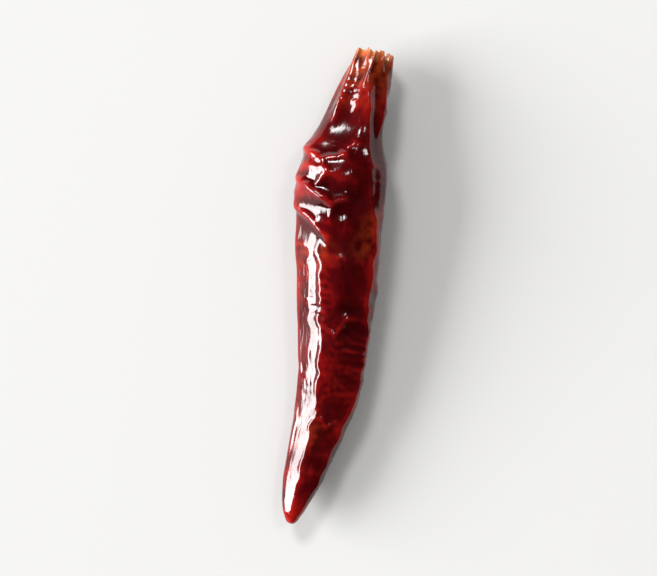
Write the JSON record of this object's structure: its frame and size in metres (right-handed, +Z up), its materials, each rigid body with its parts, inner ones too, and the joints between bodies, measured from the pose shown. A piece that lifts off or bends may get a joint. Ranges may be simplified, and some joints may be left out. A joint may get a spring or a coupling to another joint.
{
  "type": "dried chilli pepper",
  "caption": "Dried red chilli pod without its stem, lying on its side, with an open pleated neck, a creased belly and a blunt, slightly hooked tip.",
  "frame": {"origin": "centre of the pod's box at the surface that it rests on", "axes": "+Y runs along the pod from the tip to the open stem end, +Z is up from the resting face, +X is to the right when seen from the tip"},
  "size_m": [0.0118, 0.056, 0.0081],
  "materials": {
    "chilli_skin": "dried pepper skin, deep oxblood red, wrinkled and glossy"
  },
  "bodies": {
    "root": {"chilli_pod": "chilli_skin"}
  },
  "joints": []
}
